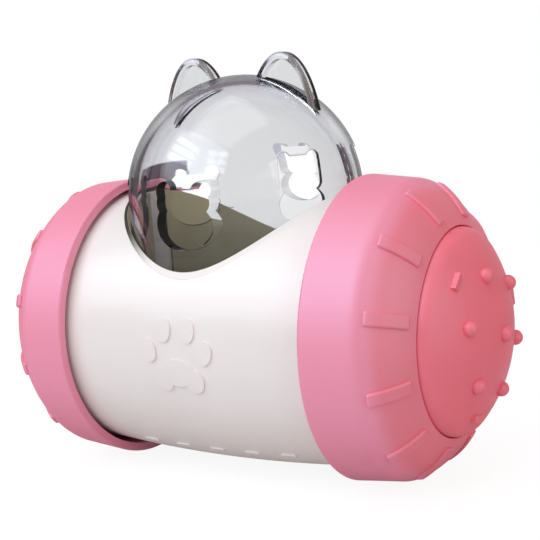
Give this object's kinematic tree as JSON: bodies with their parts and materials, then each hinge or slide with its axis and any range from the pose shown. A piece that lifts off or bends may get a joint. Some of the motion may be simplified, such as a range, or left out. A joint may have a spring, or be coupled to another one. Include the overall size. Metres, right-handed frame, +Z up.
{
  "type": "slow feeder ball",
  "caption": "Tumbler treat toy for pets: barrel drum between two free wheels, with an eared clear dome that lifts off, twists to lock and drops treats through animal-shaped holes.",
  "frame": {"origin": "on the ground, midway between the two wheels and straight below their axle", "axes": "+X along the axle towards the wheel on the right of the picture, -Y towards the paw print, +Z up"},
  "size_m": [0.1644, 0.0878, 0.1238],
  "materials": {
    "pink_plastic": "satin, soft to the touch",
    "white_plastic": "smooth gloss",
    "smoky_plastic": "clear smoky gloss",
    "olive_plastic": "fine matt",
    "cover_plastic": "plain",
    "acetal": "smooth",
    "seal_rubber": "soft",
    "cast_iron": "as cast",
    "steel": "zinc plated"
  },
  "bodies": {
    "drum": {"drum_shell": "white_plastic", "left_end_cap": "white_plastic", "right_end_cap": "white_plastic", "left_end_cap_screws": "steel", "right_end_cap_screws": "steel", "food_bowl": "olive_plastic", "bowl_screws": "steel", "counterweight": "cast_iron", "weight_cover": "cover_plastic", "weight_screws": "steel", "left_retaining_washer": "steel", "right_retaining_washer": "steel", "left_axle_screw": "steel", "right_axle_screw": "steel"},
    "left_wheel": {"left_wheel_shell": "pink_plastic", "left_wheel_bush": "acetal", "left_hub_cap": "pink_plastic"},
    "right_wheel": {"right_wheel_shell": "pink_plastic", "right_wheel_bush": "acetal", "right_hub_cap": "pink_plastic"},
    "dome_carriage": {"dome_seal_ring": "seal_rubber"},
    "dome": {"dome_shell": "smoky_plastic"}
  },
  "joints": [
    {"name": "left_wheel_spin", "type": "hinge", "parent": "drum", "child": "left_wheel", "pos_m": [-0.057, 0, 0.044], "axis": [1, 0, 0], "continuous": true},
    {"name": "right_wheel_spin", "type": "hinge", "parent": "drum", "child": "right_wheel", "pos_m": [0.057, 0, 0.044], "axis": [1, 0, 0], "continuous": true},
    {"name": "dome_lift", "type": "slide", "parent": "drum", "child": "dome_carriage", "axis": [0, 0, 1], "range_m": [0, 0.045]},
    {"name": "dome_twist", "type": "hinge", "parent": "dome_carriage", "child": "dome", "pos_m": [0, 0, 0.0825], "axis": [0, 0, 1], "range_deg": [-40, 0]}
  ]
}
